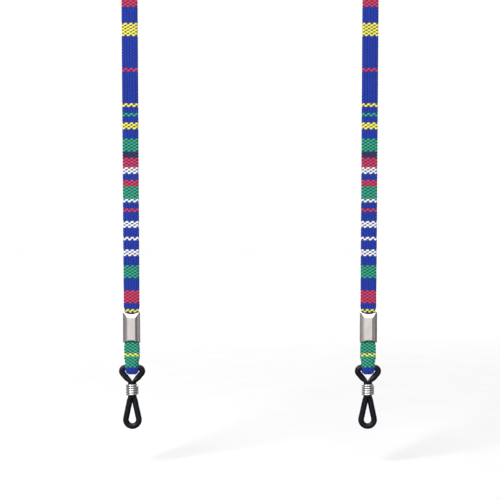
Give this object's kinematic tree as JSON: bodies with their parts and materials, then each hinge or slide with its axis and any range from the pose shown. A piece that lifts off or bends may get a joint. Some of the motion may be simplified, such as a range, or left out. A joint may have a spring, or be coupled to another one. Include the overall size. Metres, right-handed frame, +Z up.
{
  "type": "eyeglass retainer strap",
  "caption": "Woven neck strap whose ends are crimped in metal ferrules and carry rubber loops with sliding wire coils to hold glasses.",
  "frame": {"origin": "middle of the strap's inner face, where it rests on the back of the neck", "axes": "+Z up, -Y towards the wearer's front, where both ends hang, +X to the right of a viewer who faces that front"},
  "size_m": [0.1294, 0.093, 0.2604],
  "materials": {
    "band_cloth": "plain weave, soft",
    "end_cloth": "plain weave, soft",
    "ferrule_metal": "bright nickel plate",
    "loop_rubber": "satin",
    "coil_wire": "bright drawn wire"
  },
  "bodies": {
    "band": {"woven_strap": "band_cloth"},
    "end_left": {"strap_end_left": "end_cloth", "ferrule_left": "ferrule_metal"},
    "loop_left": {"rubber_loop_left": "loop_rubber"},
    "grip_left": {"coil_left": "coil_wire"},
    "end_right": {"strap_end_right": "end_cloth", "ferrule_right": "ferrule_metal"},
    "loop_right": {"rubber_loop_right": "loop_rubber"},
    "grip_right": {"coil_right": "coil_wire"}
  },
  "joints": [
    {"name": "flex_left", "type": "hinge", "parent": "band", "child": "end_left", "pos_m": [-0.038, -0.08935, -0.21656], "axis": [1, 0, 0], "range_deg": [-60, 60], "stiffness_Nm_per_rad": 0.0001},
    {"name": "swing_left", "type": "hinge", "parent": "end_left", "child": "loop_left", "pos_m": [-0.038, -0.08935, -0.23776], "axis": [1, 0, 0], "range_deg": [-110, 110]},
    {"name": "slide_left", "type": "slide", "parent": "loop_left", "child": "grip_left", "axis": [0, 0, -1], "range_m": [0, 0.002], "stiffness_N_per_m": 20},
    {"name": "flex_right", "type": "hinge", "parent": "band", "child": "end_right", "pos_m": [0.038, -0.08935, -0.21656], "axis": [1, 0, 0], "range_deg": [-60, 60], "stiffness_Nm_per_rad": 0.0001},
    {"name": "swing_right", "type": "hinge", "parent": "end_right", "child": "loop_right", "pos_m": [0.038, -0.08935, -0.23776], "axis": [1, 0, 0], "range_deg": [-110, 110]},
    {"name": "slide_right", "type": "slide", "parent": "loop_right", "child": "grip_right", "axis": [0, 0, -1], "range_m": [0, 0.002], "stiffness_N_per_m": 20}
  ]
}
